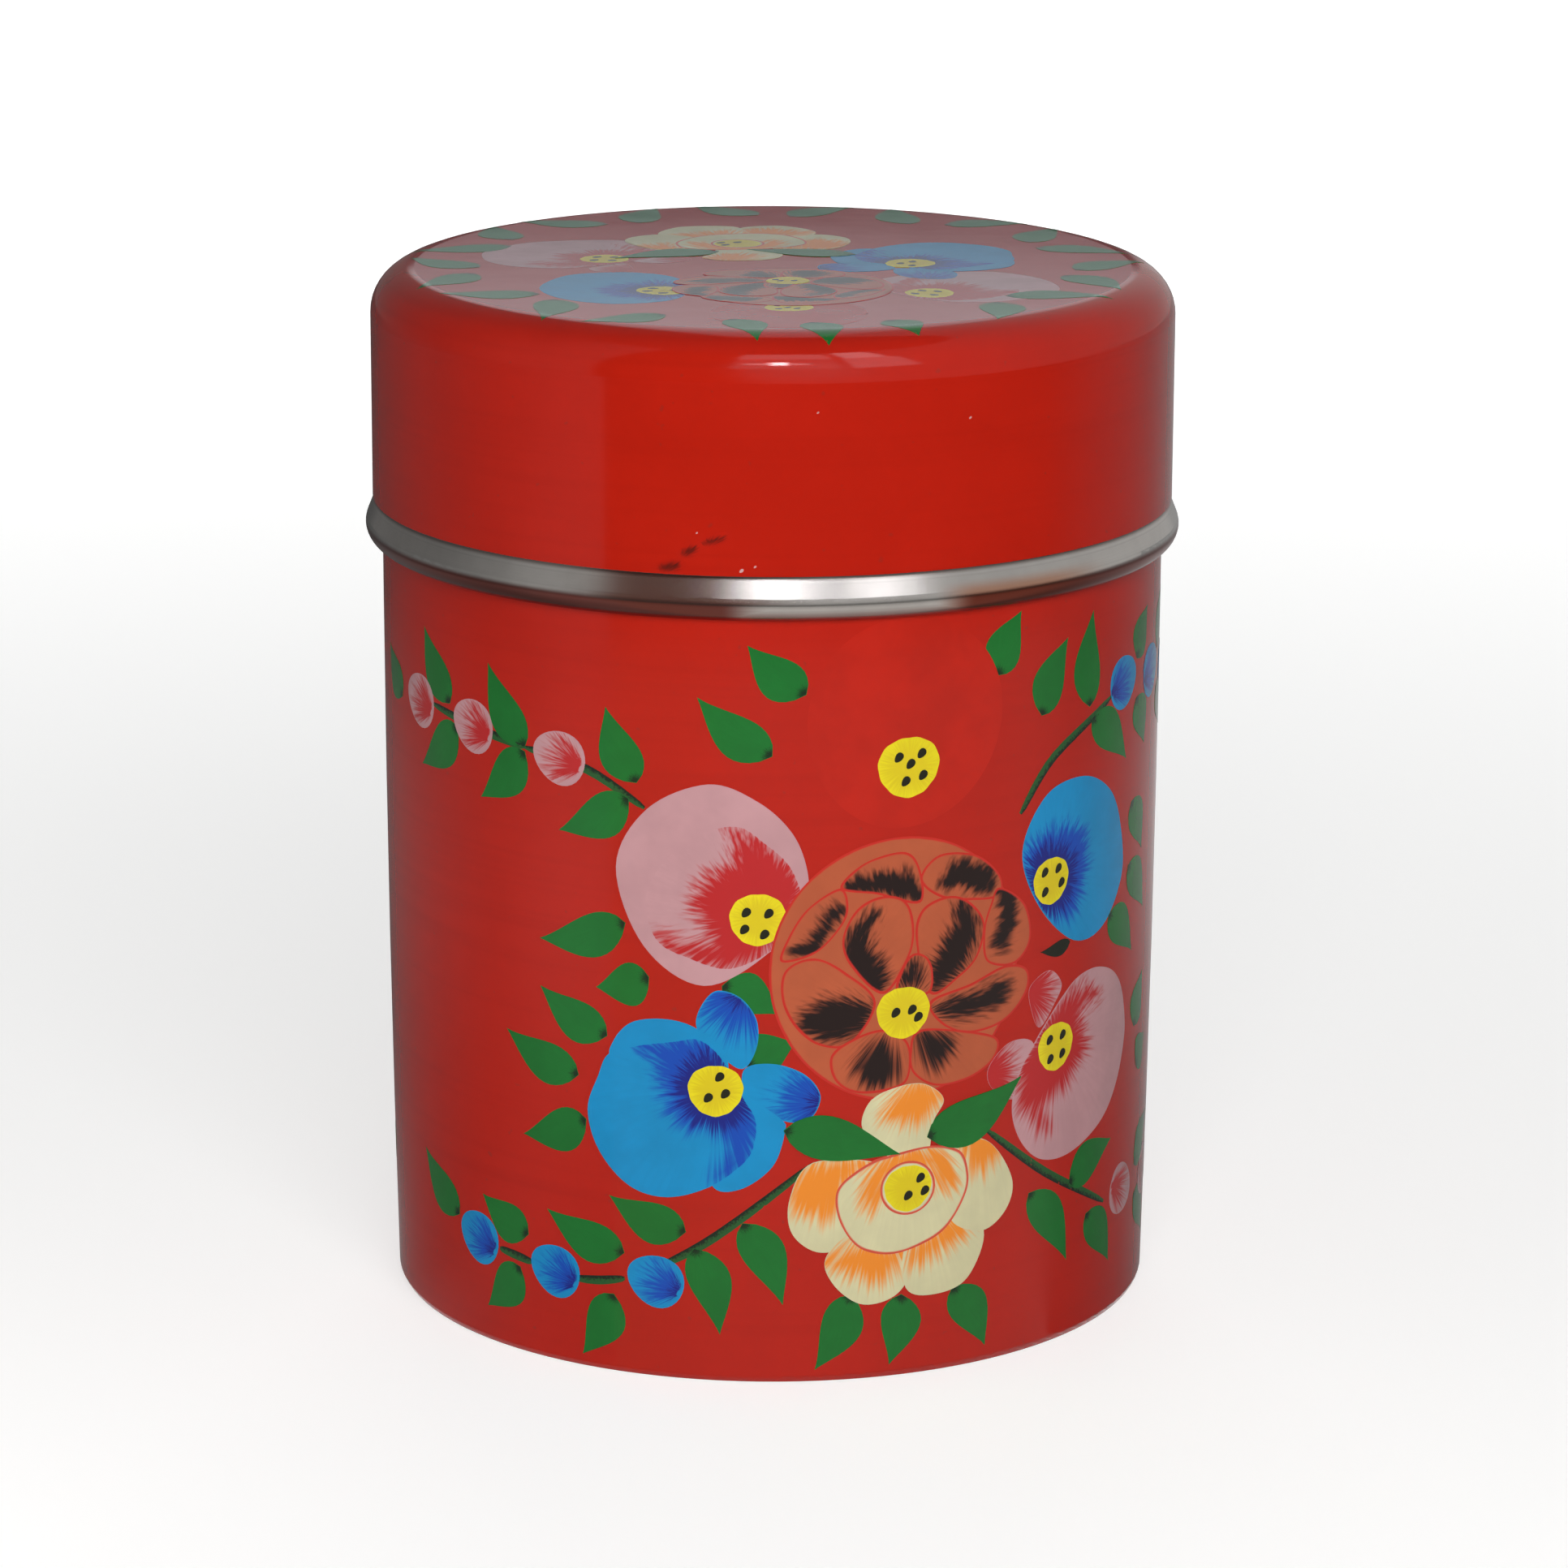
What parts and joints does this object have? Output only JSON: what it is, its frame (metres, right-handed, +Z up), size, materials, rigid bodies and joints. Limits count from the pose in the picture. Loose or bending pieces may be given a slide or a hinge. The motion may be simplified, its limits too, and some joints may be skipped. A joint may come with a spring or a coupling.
{
  "type": "tea caddy",
  "caption": "Round painted steel tea caddy: a can with a let-in base, curled mouth and gently drawn-in foot, closed by a slip-over lid with a bare rolled bead that lifts straight off.",
  "frame": {"origin": "centre of the foot, on the surface the caddy stands on", "axes": "+Z up along the axis of the can and the lid; the side the picture shows faces -Y"},
  "size_m": [0.1018, 0.1018, 0.13],
  "materials": {
    "red_enamel": "glossy red enamel paint with painted flower sprays",
    "bare_steel": "bare stainless steel, polished by handling"
  },
  "bodies": {
    "can": {"can_wall": "bare_steel", "can_base": "bare_steel", "can_enamel": "red_enamel"},
    "lid": {"lid_shell": "bare_steel", "lid_enamel": "red_enamel"}
  },
  "joints": [
    {"name": "lid_lift", "type": "slide", "parent": "can", "child": "lid", "axis": [0, 0, 1], "range_m": [0, 0.06]}
  ]
}
